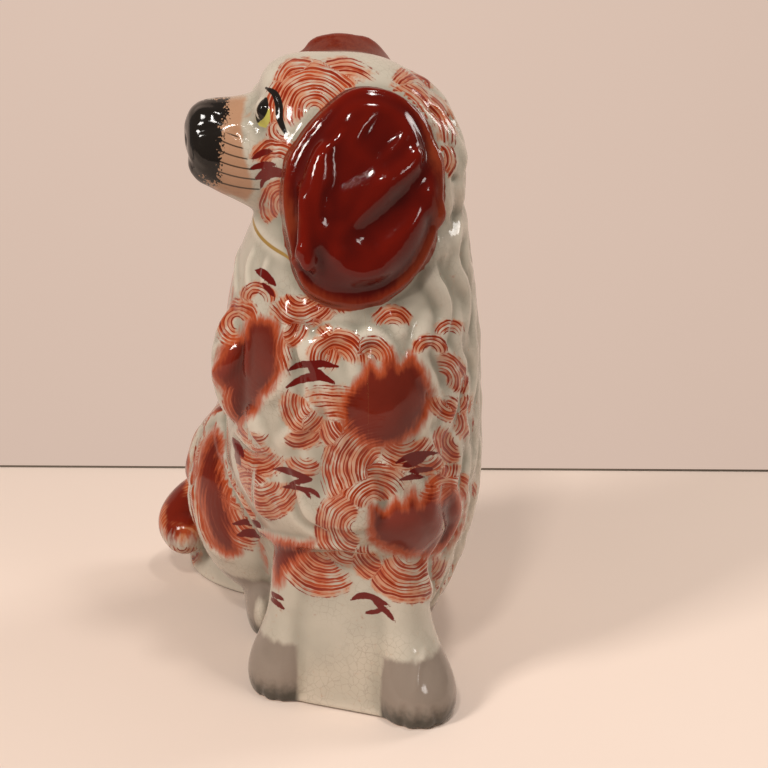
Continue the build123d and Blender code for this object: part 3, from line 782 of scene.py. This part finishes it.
class Paint:
    """Paint kept as values on the skin's points. Edges are signed distances in millimetres."""

    def __init__(self, skin):
        self.skin = skin
        count = len(skin.points)
        keys = ("patch", "dab", "black", "tan", "yellow", "liner")
        self.values = {key: np.full(count, UNPAINTED) for key in keys}
        self.values["whisker"] = np.zeros(count)
        self.values["whisker_zone"] = np.full(count, UNPAINTED)
        self.phase = np.zeros(count)
        self.best = np.zeros(count)
        self.second = np.zeros(count)

    def zones(self, key, polygons, index, u, v):
        """Raises the values of a paint to the signed distances to polygons."""
        for corners in polygons:
            distance = inside_distance(u, v, corners) * PIXEL
            self.values[key][index] = np.maximum(self.values[key][index], distance)

    def strokes(self, key, strokes, index, u, v):
        """Raises the values of a paint to the signed distances to tapered strokes."""
        spots = np.stack([u, v], axis=1)
        for half_width, places in strokes:
            away, along = line_distance(spots, eased(places, CURVE_STEPS))
            width = half_width * np.sqrt(np.clip(4 * along * (1 - along), STROKE_END_SHARE, 1))
            self.values[key][index] = np.maximum(self.values[key][index], (width - away) * PIXEL)

    def whorls(self, whorls, index, u, v):
        """Sets the brush-lined whorls. Where two meet, their lines fade out."""
        for middle_u, middle_v, inner, outer, start, sweep in whorls:
            away = np.hypot(u - middle_u, v - middle_v)
            near = np.nonzero(away < outer + WHORL_MARGIN_PX)[0]
            angle = (np.degrees(np.arctan2(v[near] - middle_v, u[near] - middle_u)) - start) % 360
            turn = np.clip(np.minimum(angle, sweep - angle) / WHORL_END_RAMP, 0, 1)
            ring = np.clip(np.minimum(away[near] - inner, outer - away[near]) / WHORL_EDGE_RAMP_PX, 0, 1)
            mask = turn * ring
            spot = index[near]
            better = mask > self.best[spot]
            self.second[spot] = np.where(better, self.best[spot], np.maximum(self.second[spot], mask))
            self.best[spot] = np.where(better, mask, self.best[spot])
            self.phase[spot] = np.where(better, away[near] * PIXEL, self.phase[spot])

    def decorate(self, picture, tables, points, facing, allowed):
        """Puts one picture's paint on the points that can be seen well in it."""
        u, v, seen = self.skin.seen(picture, points, facing)
        index = np.nonzero(seen & allowed & (facing > SEEN_WELL))[0]
        u, v = u[index], v[index]
        for key, polygons in tables["zones"].items():
            self.zones(key, polygons, index, u, v)
        for key, strokes in tables["strokes"].items():
            self.strokes(key, strokes, index, u, v)
        self.whorls(tables["whorls"], index, u, v)
        if "whisker" in tables:
            centre, zone = tables["whisker"]
            self.values["whisker"][index] = np.hypot(u - centre[0], v - centre[1]) * PIXEL
            self.zones("whisker_zone", zone, index, u, v)

    def spread(self):
        """Carries the edges of the paint a little way past what the pictures show."""
        edges = self.skin.edges
        length = np.linalg.norm(self.skin.points[edges[:, 0]] - self.skin.points[edges[:, 1]], axis=1) / MM
        for key in ("patch", "dab", "black", "tan"):
            values = self.values[key]
            for _ in range(SPREAD_STEPS):
                grown = values.copy()
                np.maximum.at(grown, edges[:, 0], values[edges[:, 1]] - length)
                np.maximum.at(grown, edges[:, 1], values[edges[:, 0]] - length)
                values = grown
            self.values[key] = values

    def attributes(self):
        result = dict(self.values)
        parted = np.clip(0.5 + (self.best - self.second) * WHORL_MEETING, 0, 1)
        result["whorl"] = parted * self.best
        result["whorl_phase"] = self.phase
        return result


def relief_height(skin):
    """How far each point stands out of its smoothed surroundings, in millimetres."""
    edges = skin.edges
    count = len(skin.points)
    degree = np.bincount(edges.ravel(), minlength=count)[:, None]
    smooth = skin.points.copy()
    for _ in range(RELIEF_STEPS):
        total = np.stack([
            np.bincount(edges[:, 0], smooth[edges[:, 1], k], count)
            + np.bincount(edges[:, 1], smooth[edges[:, 0], k], count) for k in range(3)
        ], axis=1)
        smooth = total / np.maximum(degree, 1)
    return np.einsum("ij,ij->i", skin.points - smooth, skin.normals) / MM


def paw_grey(points):
    """Signed distance in millimetres to the grey of the forefeet and the hind foot."""
    x, y, z = points.T / MM
    way = PLAIN_PAW_PLACE - SHOW_PAW_PLACE
    length = np.linalg.norm(way)
    along = (np.stack([x, y], axis=1) - SHOW_PAW_PLACE) @ way / length
    show_paw = np.minimum(SHOW_PAW_REACH - along, SHOW_PAW_TOP - z)
    plain_paw = np.minimum(along - length + PLAIN_PAW_REACH, PLAIN_PAW_TOP - z)
    fore = np.minimum(np.maximum(show_paw, plain_paw), x - FORE_PAWS_BACK)
    from_hind_paw = np.hypot(x - HIND_PAW_PLACE[0], y - HIND_PAW_PLACE[1])
    return fore, np.minimum(HIND_PAW_RADIUS - from_hind_paw, HIND_PAW_TOP - z)


def collar_gap(points):
    """Height above the collar's sloping plane, in millimetres."""
    slope = math.radians(COLLAR_SLOPE)
    normal = np.array([math.sin(slope), 0, math.cos(slope)])
    gap = (points - (HEAD_MIDDLE_X, SEAM_Y, COLLAR_HEIGHT * MM)) @ normal / MM
    return np.where(points[:, 1] < SEAM_Y, gap, NO_COLLAR)


def side_tables():
    """Patches with feathered edges on the show side, and whorls round them."""
    patches = []
    whorls = []
    for u, v, radius in SIDE_PATCHES_PX:
        count = len(SIDE_FEATHER_SHARES)
        corners = []
        for k, share in enumerate(SIDE_FEATHER_SHARES):
            angle = 2 * math.pi * k / count
            corners.append((u + radius * share * math.cos(angle), v + radius * share * math.sin(angle)))
        patches.append(corners)
        for angle, share in SIDE_WHORL_SHARES:
            turn = angle + u / SIDE_WHORL_TURN_PX
            middle = (u + radius * share * math.cos(turn), v + radius * share * math.sin(turn))
            start = math.degrees(turn) + SIDE_WHORL_START
            outer = radius * SIDE_WHORL_OUTER_SHARE
            whorls.append((*middle, SIDE_WHORL_INNER_PX, outer, start, SIDE_WHORL_SWEEP))
    return {
        "zones": {"patch": patches, "black": SIDE_NOSE_PX, "tan": SIDE_MUZZLE_PX},
        "strokes": {"dab": SIDE_DABS_PX},
        "whorls": whorls,
    }


def paint_skin(skin):
    paint = Paint(skin)
    tables = {
        "zones": {"patch": PATCHES_PX, "black": NOSE_PX, "yellow": EYE_YELLOW_PX, "tan": MUZZLE_PX},
        "strokes": {"dab": DABS_PX, "liner": EYE_BLACK_PX},
        "whorls": WHORLS_PX,
        "whisker": (WHISKER_CENTRE_PX, WHISKER_ZONE_PX),
    }
    points, normals = skin.points, skin.normals
    everywhere = np.ones(len(points), bool)
    paint.decorate(PHOTO, tables, points, normals @ PHOTO.back, everywhere)
    flipped = mirrored(points)
    far_side = (points[:, 0] < HEAD_MIDDLE_X) & (points[:, 2] > HEAD_BOTTOM)
    paint.decorate(PHOTO, tables, flipped, (normals * (-1, 1, 1)) @ PHOTO.back, far_side)
    turned = (normals @ PHOTO.back < TURNED_AWAY) | (points[:, 2] > HEAD_BOTTOM)
    paint.decorate(SIDE, side_tables(), points, normals @ SIDE.back, turned)
    paint.spread()
    values = paint.attributes()
    values["relief"] = relief_height(skin)
    values["fore_paw"], values["hind_paw"] = paw_grey(points)
    values["collar"] = collar_gap(points)
    underside = np.clip((-normals[:, 2] - BARE_TURN) * BARE_SLOPE, 0, 1)
    values["bare"] = underside * (points[:, 2] < BASE_HEIGHT)
    return values


def nearest_distances(name, spots):
    """How far each spot lies from the surface of a CAD node."""
    points, triangles = node_mesh(name)
    tree = BVHTree.FromPolygons(points.tolist(), triangles.tolist())
    return np.array([tree.find_nearest(spot)[3] for spot in spots.tolist()])


def ear_rim(skin):
    """Distance in millimetres from the outline of an ear. The rim is drawn to its lower right."""
    u, v, _ = PHOTO.project(skin.points)
    inside = inside_distance(u, v, EAR_OUTLINE_PX) * PIXEL
    away = (u - EAR_MIDDLE_PX[0]) * EAR_RIM_WAY[0] + (v - EAR_MIDDLE_PX[1]) * EAR_RIM_WAY[1]
    inside = inside + EAR_RIM_DROP * (1 - np.clip(away / EAR_HALF_PX, -1, 1))
    return np.where(skin.points[:, 0] > HEAD_MIDDLE_X, inside, FAR_EAR_RIM)


def node_gaps(skin):
    """Distance of each point of the skin from the halves and from each luted piece."""
    gaps = {name: np.full(len(skin.points), FAR_AWAY) for name in LUTED_NODES}
    near = np.zeros(len(skin.points), bool)
    for name in LUTED_NODES:
        low, high = (np.array(corner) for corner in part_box(name))
        boxed = (skin.points > low - NODE_REACH) & (skin.points < high + NODE_REACH)
        close = np.nonzero(np.all(boxed, axis=1))[0]
        gaps[name][close] = nearest_distances(name, skin.points[close])
        near[close] = True
    index = np.nonzero(near)[0]
    gaps["halves"] = np.zeros(len(skin.points))
    gaps["halves"][index] = np.minimum(*(nearest_distances(name, skin.points[index]) for name in HALF_NODES))
    return gaps


def face_owners(skin, gaps):
    """The name of the node that each face of the skin belongs to."""
    centres = skin.points[skin.quads].mean(axis=1)
    owners = np.where(centres[:, 1] < SEAM_Y, "front_half", "back_half").astype("U16")
    best = gaps["halves"][skin.quads].mean(axis=1)
    for name in LUTED_NODES:
        away = gaps[name][skin.quads].mean(axis=1)
        closer = away < best
        owners[closer] = name
        best = np.minimum(best, away)
    owners[centres[:, 2] < BASE_HEIGHT] = "base_slab"
    from_vent = np.hypot(centres[:, 0] - VENT_PLACE[0], centres[:, 1] - VENT_PLACE[1])
    height = centres[:, 2]
    in_vent = (from_vent < VENT_RADIUS + VOXEL) & (height > BASE_HEIGHT) & (height < 2 * BASE_HEIGHT)
    owners[in_vent] = ""
    return owners


def piece_object(name, skin, quads, attributes):
    """One piece of the skin, with a lip turned in along its cut edges."""
    used, corners = np.unique(quads, return_inverse=True)
    corners = corners.reshape(-1, 4)
    spots = skin.points[used]
    lines = np.concatenate([corners[:, [k, (k + 1) % 4]] for k in range(4)])
    keys = np.sort(lines, axis=1)
    _, first, counts = np.unique(keys, axis=0, return_index=True, return_counts=True)
    rim = lines[first[counts == 1]]
    rim_points = np.unique(rim)
    inner = np.full(len(spots), -1)
    inner[rim_points] = len(spots) + np.arange(len(rim_points))
    lip = spots[rim_points] - skin.normals[used][rim_points] * LIP_DEPTH
    lip_quads = np.stack([rim[:, 1], rim[:, 0], inner[rim[:, 0]], inner[rim[:, 1]]], axis=1)
    source = np.concatenate([used, used[rim_points]])
    mesh = bpy.data.meshes.new(name)
    mesh.from_pydata(np.concatenate([spots, lip]).tolist(), [], np.concatenate([corners, lip_quads]).tolist())
    mesh.polygons.foreach_set("use_smooth", np.ones(len(mesh.polygons), bool))
    for key, values in attributes.items():
        attribute = mesh.attributes.new(key, "FLOAT", "POINT")
        attribute.data.foreach_set("value", values[source].astype(np.float32))
    mesh.update()
    mesh.normals_split_custom_set_from_vertices(skin.normals[source].tolist())
    piece = bpy.data.objects.new(name + "_glazed", mesh)
    bpy.context.scene.collection.objects.link(piece)
    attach(piece, "root")
    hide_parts(name)
    return piece


class Nodes:
    """Short ways to put shader nodes together. Every value may be a number or another node's output."""

    def __init__(self, name):
        self.material = bpy.data.materials.new(name)
        self.material.use_nodes = True
        self.tree = self.material.node_tree
        self.shader = self.tree.nodes["Principled BSDF"]

    def put(self, socket, value):
        if isinstance(value, bpy.types.NodeSocket):
            self.tree.links.new(value, socket)
        else:
            socket.default_value = value

    def math(self, operation, a, b=0.0, c=0.0):
        node = self.tree.nodes.new("ShaderNodeMath")
        node.operation = operation
        for socket, value in zip(node.inputs, (a, b, c)):
            self.put(socket, value)
        return node.outputs[0]

    def times(self, a, b):
        return self.math("MULTIPLY", a, b)

    def plus(self, a, b):
        return self.math("ADD", a, b)

    def value(self, key):
        node = self.tree.nodes.new("ShaderNodeAttribute")
        node.attribute_name = key
        return node.outputs["Fac"]

    def place(self):
        return self.tree.nodes.new("ShaderNodeNewGeometry").outputs["Position"]

    def millimetres(self, axis):
        """Place along an axis in millimetres."""
        node = self.tree.nodes.new("ShaderNodeSeparateXYZ")
        self.put(node.inputs[0], self.place())
        return self.times(node.outputs[axis], 1 / MM)

    def noise(self, key):
        """Noise from 0 to 1 out of the table of noises."""
        size, detail, upwards = NOISES[key]
        mapping = self.tree.nodes.new("ShaderNodeMapping")
        self.put(mapping.inputs["Vector"], self.place())
        scale = 1 / (size * MM)
        mapping.inputs["Scale"].default_value = (scale, scale, scale / upwards)
        node = self.tree.nodes.new("ShaderNodeTexNoise")
        node.inputs["Scale"].default_value = 1.0
        node.inputs["Detail"].default_value = detail
        self.put(node.inputs["Vector"], mapping.outputs[0])
        return node.outputs["Fac"]

    def ramp(self, value, low, high, full=1.0):
        """0 on the low side, full on the high side, smooth between."""
        node = self.tree.nodes.new("ShaderNodeMapRange")
        node.interpolation_type = "SMOOTHSTEP"
        for socket, item in zip(node.inputs, (value, low, high, 0.0, full)):
            self.put(socket, item)
        return node.outputs[0]

    def edge(self, key, value, noise=None):
        """How strongly a paint covers by the table of edges, with its edge moved by noise if given."""
        low, high, strength, spread = EDGES[key]
        if noise is not None:
            value = self.plus(value, self.times(self.math("SUBTRACT", noise, 0.5), spread))
        return self.ramp(value, low, high, strength)

    def mix(self, share, a, b):
        node = self.tree.nodes.new("ShaderNodeMix")
        node.data_type = "RGBA"
        self.put(node.inputs["Factor"], share)
        for socket, value in ((node.inputs[6], a), (node.inputs[7], b)):
            self.put(socket, (*value, 1.0) if isinstance(value, tuple) else value)
        return node.outputs[2]

    def cracks(self):
        """Fine crazing."""
        node = self.tree.nodes.new("ShaderNodeTexVoronoi")
        node.feature = "DISTANCE_TO_EDGE"
        node.inputs["Scale"].default_value = 1 / (CRACK_CELL * MM)
        noise = self.tree.nodes.new("ShaderNodeTexNoise")
        noise.inputs["Scale"].default_value = 1 / (CRACK_CELL * CRACK_BEND_SIZE_SHARE * MM)
        bend = self.tree.nodes.new("ShaderNodeVectorMath")
        bend.operation = "SCALE"
        bend.inputs["Scale"].default_value = CRACK_CELL * CRACK_BEND_SHARE * MM
        self.put(bend.inputs[0], noise.outputs["Color"])
        add = self.tree.nodes.new("ShaderNodeVectorMath")
        self.put(add.inputs[0], self.place())
        self.put(add.inputs[1], bend.outputs[0])
        self.put(node.inputs["Vector"], add.outputs[0])
        return self.ramp(node.outputs["Distance"], CRACK_WIDTH / CRACK_CELL, 0.0)

    def bump(self, height, distance, strength):
        node = self.tree.nodes.new("ShaderNodeBump")
        node.inputs["Strength"].default_value = strength
        node.inputs["Distance"].default_value = distance
        self.put(node.inputs["Height"], height)
        self.put(self.shader.inputs["Normal"], node.outputs[0])


def paint_whorls(n, colour, whorl, wave):
    """An orange wash under red brush lines that swell and break off."""
    wash = n.times(n.edge("wash", whorl), n.edge("wash_area", n.noise("wash")))
    colour = n.mix(wash, colour, ORANGE)
    limit = n.math("SUBTRACT", LINE_LIMIT, n.times(n.times(whorl, n.noise("patchy")), LINE_GAIN))
    lines = n.edge("line", n.math("SUBTRACT", wave, limit))
    line_colour = n.mix(n.edge("line_dark", wave, n.noise("line_dark")), RED_LIGHT, RED)
    return n.mix(n.times(lines, n.edge("line_area", whorl)), colour, line_colour)


def brush_wave(n):
    """The brush lines of the whorls as a sum of waves."""
    phase = n.plus(n.value("whorl_phase"), n.times(n.noise("bend"), WHORL_BEND))
    wave = 0.0
    for spacing, share in BRUSH_LINES:
        wave = n.plus(wave, n.times(n.math("SINE", n.times(phase, 2 * math.pi / spacing)), share))
    return wave


def paint_patches(n, colour, combing, streak, red_with_hollow_shade):
    """Solid red patches with edges drawn out along the brush lines round them."""
    patch = n.plus(n.value("patch"), combing)
    # the solid red carries the glaze pooling and painted shade of the hollows
    red = n.mix(n.edge("patch_deep", patch, streak), RED_LIGHT, red_with_hollow_shade)
    return n.mix(n.edge("patch", patch, streak), colour, red)


def paint_tail(n, colour, height, streak, red_with_hollow_shade):
    """Red plume with brush lines along it, white at the foot."""
    across = n.plus(n.value("relief"), n.millimetres(0))
    bend = n.times(n.noise("tail_bend"), TAIL_BEND)
    wave = n.math("SINE", n.plus(n.times(across, TAIL_LINE_TURN), bend))
    lined = n.mix(n.edge("tail_brush", wave, streak), ORANGE, RED_LIGHT)
    red = n.mix(n.edge("tail_patch", n.noise("tail_patch")), lined, red_with_hollow_shade)
    cover = n.times(n.edge("tail", n.value("tail"), streak), n.edge("tail_height", height, streak))
    return n.mix(cover, colour, red)


def paint_face(n, colour):
    """Tan muzzle, whiskers, eyes, and a black nose with a stippled edge."""
    colour = n.mix(n.edge("tan", n.value("tan"), n.noise("tan_edge")), colour, TAN)
    wave = n.math("SINE", n.times(n.value("whisker"), 2 * math.pi / WHISKER_SPACING))
    whisker = n.times(n.edge("whisker", wave), n.edge("whisker_zone", n.value("whisker_zone")))
    colour = n.mix(whisker, colour, BLACK)
    colour = n.mix(n.edge("yellow", n.value("yellow")), colour, YELLOW)
    colour = n.mix(n.edge("liner", n.value("liner")), colour, BLACK)
    return n.mix(n.edge("black", n.value("black"), n.noise("stipple")), colour, BLACK)


def paint_feet(n, colour, height, fine):
    """Grey paws, the gilt collar and a dark line of painted shadow where the figure meets the table."""
    paw = n.math("MAXIMUM", n.value("fore_paw"), n.value("hind_paw"))
    grey = n.mix(n.edge("paw_height", height, fine), GREY_DARK, GREY)
    colour = n.mix(n.edge("paw", paw, n.noise("paw_edge")), colour, grey)
    gilt = n.math("SUBTRACT", COLLAR_HALF_WIDTH, n.math("ABSOLUTE", n.value("collar")))
    colour = n.mix(n.edge("gilt", gilt), colour, GOLD)
    # painted shadow: the lowest millimetre or two of the figure darkened where it stands on the table
    return n.mix(n.edge("foot", height), colour, GREY_DARK)


def paint_ears(n, colour, pooling_and_shade, streak, fine):
    """Dark red ears, darker in their hollows by glaze pooling and painted shade, with a paler brushed rim."""
    leather = n.mix(pooling_and_shade, EAR_POOLED_AND_SHADED, EAR_RED)
    leather = n.mix(n.edge("rim", n.value("ear_rim"), streak), leather, EAR_RIM)
    return n.mix(n.edge("ear", n.value("ear"), fine), colour, leather)


def glaze_material(name):
    """White lead glaze with its painting, drawn from the values kept on the skin."""
    n = Nodes(name)
    height = n.millimetres(2)
    soft, fine, streak = n.noise("soft"), n.noise("fine"), n.noise("streak")
    relief = n.value("relief")
    cracks = n.times(n.cracks(), n.edge("crazed", n.noise("crazed")))
    # Grey in the hollows of the relief: glaze pooled there, and painted shade
    colour = n.mix(n.edge("hollow", relief, soft), POOLED_GLAZE_AND_SHADE_GREY, WHITE)
    colour = n.mix(n.edge("warm", n.noise("cloud")), colour, WARM)
    colour = n.mix(n.times(cracks, CRACK_STRENGTH), colour, CRACK)

    whorl = n.edge("whorl", n.value("whorl"), n.noise("ragged"))
    wave = brush_wave(n)
    # Red darker in the hollows of the relief: glaze pooled there, and painted shade
    pooling_and_shade = n.edge("hollow_pooling_and_shade", relief, soft)
    red_with_hollow_shade = n.mix(pooling_and_shade, RED_POOLED_AND_SHADED, RED)
    colour = paint_whorls(n, colour, whorl, wave)
    colour = paint_patches(n, colour, n.times(n.times(wave, whorl), COMBING), streak, red_with_hollow_shade)
    colour = paint_tail(n, colour, height, streak, red_with_hollow_shade)
    colour = n.mix(n.edge("dab", n.value("dab"), fine), colour, DAB)
    colour = paint_face(n, colour)
    colour = paint_feet(n, colour, height, fine)
    colour = paint_ears(n, colour, pooling_and_shade, streak, fine)

    bare = n.value("bare")
    clay = n.mix(n.times(n.noise("bare"), BARE_GREY), CLAY, GREY)
    gloss = n.plus(GLAZE_ROUGHNESS, n.times(fine, ROUGHNESS_SPREAD))
    n.put(n.shader.inputs["Base Color"], n.mix(bare, colour, clay))
    n.put(n.shader.inputs["Roughness"], n.plus(gloss, n.times(bare, BARE_ROUGHNESS)))
    n.shader.inputs["Specular IOR Level"].default_value = GLAZE_SPECULAR
    n.shader.inputs["Coat Weight"].default_value = COAT_WEIGHT
    n.shader.inputs["Coat Roughness"].default_value = COAT_ROUGHNESS
    n.bump(n.plus(n.noise("ripple"), n.times(cracks, -CRACK_DEPTH)), RIPPLE_HEIGHT, RIPPLE_STRENGTH)
    return n.material


def clay_material(name):
    """Unglazed earthenware, dull and a little uneven."""
    n = Nodes(name)
    grain = n.noise("grain")
    colour = n.mix(n.noise("clay"), CLAY, WARM)
    n.put(n.shader.inputs["Base Color"], n.mix(n.times(grain, GRAIN_STRENGTH), colour, GREY))
    n.shader.inputs["Roughness"].default_value = CLAY_ROUGHNESS
    n.bump(grain, GRAIN_HEIGHT, GRAIN_STRENGTH)
    return n.material


def paper_material(name, colour, glow):
    n = Nodes(name)
    clouds = n.times(n.noise("paper"), PAPER_CLOUDS)
    n.put(n.shader.inputs["Base Color"], n.mix(clouds, colour, WARM))
    n.shader.inputs["Roughness"].default_value = PAPER_ROUGHNESS
    # only the wall is given a glow: painted light that brightens it as if lit
    n.shader.inputs["Emission Color"].default_value = (*WALL_GLOW, 1.0)
    n.shader.inputs["Emission Strength"].default_value = glow
    return n.material


def make_pieces():
    skin = model_clay()
    values = paint_skin(skin)
    gaps = node_gaps(skin)
    owners = face_owners(skin, gaps)
    ear_gap = np.minimum(*(gaps[name] for name in EAR_NODES))
    values["ear"] = np.clip((gaps["halves"] - ear_gap) / MM, -EDGE_REACH, EDGE_REACH)
    values["ear_rim"] = ear_rim(skin)
    values["tail"] = np.clip((gaps["halves"] - gaps["tail"]) / MM, -EDGE_REACH, EDGE_REACH)
    glaze = glaze_material("painted_glaze")
    for name in SLOTS:
        piece = piece_object(name, skin, skin.quads[owners == name], values)
        piece.data.materials.append(glaze)
    clay = clay_material("biscuit_clay")
    for name in ROLL_NODES:
        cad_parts[name].data.materials.clear()
        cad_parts[name].data.materials.append(clay)


def make_camera():
    data = bpy.data.cameras.new("camera")
    data.lens = CAMERA_LENS
    data.sensor_width = SENSOR_WIDTH
    camera = bpy.data.objects.new("camera", data)
    place = PHOTO.target + PHOTO.back * CAMERA_DISTANCE
    rows = [[PHOTO.right[k], PHOTO.up[k], PHOTO.back[k], place[k]] for k in range(3)]
    camera.matrix_world = Matrix(rows + [[0, 0, 0, 1]])
    bpy.context.scene.collection.objects.link(camera)
    bpy.context.scene.camera = camera


def upright(left, right, low, high):
    """Corners of a standing panel between two places."""
    return [(*left, low), (*right, low), (*left, high), (*right, high)]


def make_stage():
    """A pale table top, a thin dark strip of painted shadow along its far edge, and a pale wall well behind
    it that glows with painted light.
    """
    turn = math.radians(TABLE_TURN)
    right = np.array([math.sin(turn), math.cos(turn)])
    away = np.array([-right[1], right[0]])
    ends = [np.array([TABLE_EDGE_X, 0]) + side * right * TABLE_REACH for side in (-1, 1)]
    front = [end - away * TABLE_DEPTH for end in ends]
    table = [(*ends[0], 0), (*ends[1], 0), (*front[1], 0), (*front[0], 0)]
    wall = upright(*(end + away * WALL_DISTANCE for end in ends), WALL_BOTTOM, WALL_TOP)
    # a thin dark strip of painted shadow standing at the table's far edge
    gap = upright(*(end - away * EDGE_SHADOW_HEIGHT for end in ends), 0, EDGE_SHADOW_HEIGHT)
    for name, points, face, colour, glow in (
        ("table_top", table, (3, 2, 1, 0), TABLE_COLOUR, 0.0),
        ("wall", wall, (0, 1, 3, 2), WALL_COLOUR, 1.0),
        ("edge_shadow_strip", gap, (0, 1, 3, 2), EDGE_SHADOW_COLOUR, 0.0),
    ):
        mesh = bpy.data.meshes.new(name)
        mesh.from_pydata(points, [], [face])
        stage = bpy.data.objects.new(name, mesh)
        bpy.context.scene.collection.objects.link(stage)
        stage.data.materials.append(paper_material(name, colour, glow))


def make_lights():
    for name, place, size, power, colour in LIGHTS:
        data = bpy.data.lights.new(name, "AREA")
        data.shape = "RECTANGLE"
        data.size, data.size_y = size
        data.energy = power
        data.color = colour
        light = bpy.data.objects.new(name, data)
        light.location = place
        way = Vector(LIT_PLACE) - Vector(place)
        light.rotation_euler = way.to_track_quat("-Z", "Y").to_euler()
        bpy.context.scene.collection.objects.link(light)
    world = bpy.data.worlds.new("room")
    bpy.context.scene.world = world
    world.use_nodes = True
    background = world.node_tree.nodes["Background"]
    background.inputs["Color"].default_value = (*ROOM_COLOUR, 1.0)
    background.inputs["Strength"].default_value = ROOM_LIGHT


make_pieces()
make_stage()
make_lights()
make_camera()
bpy.context.scene.view_settings.view_transform = "Standard"
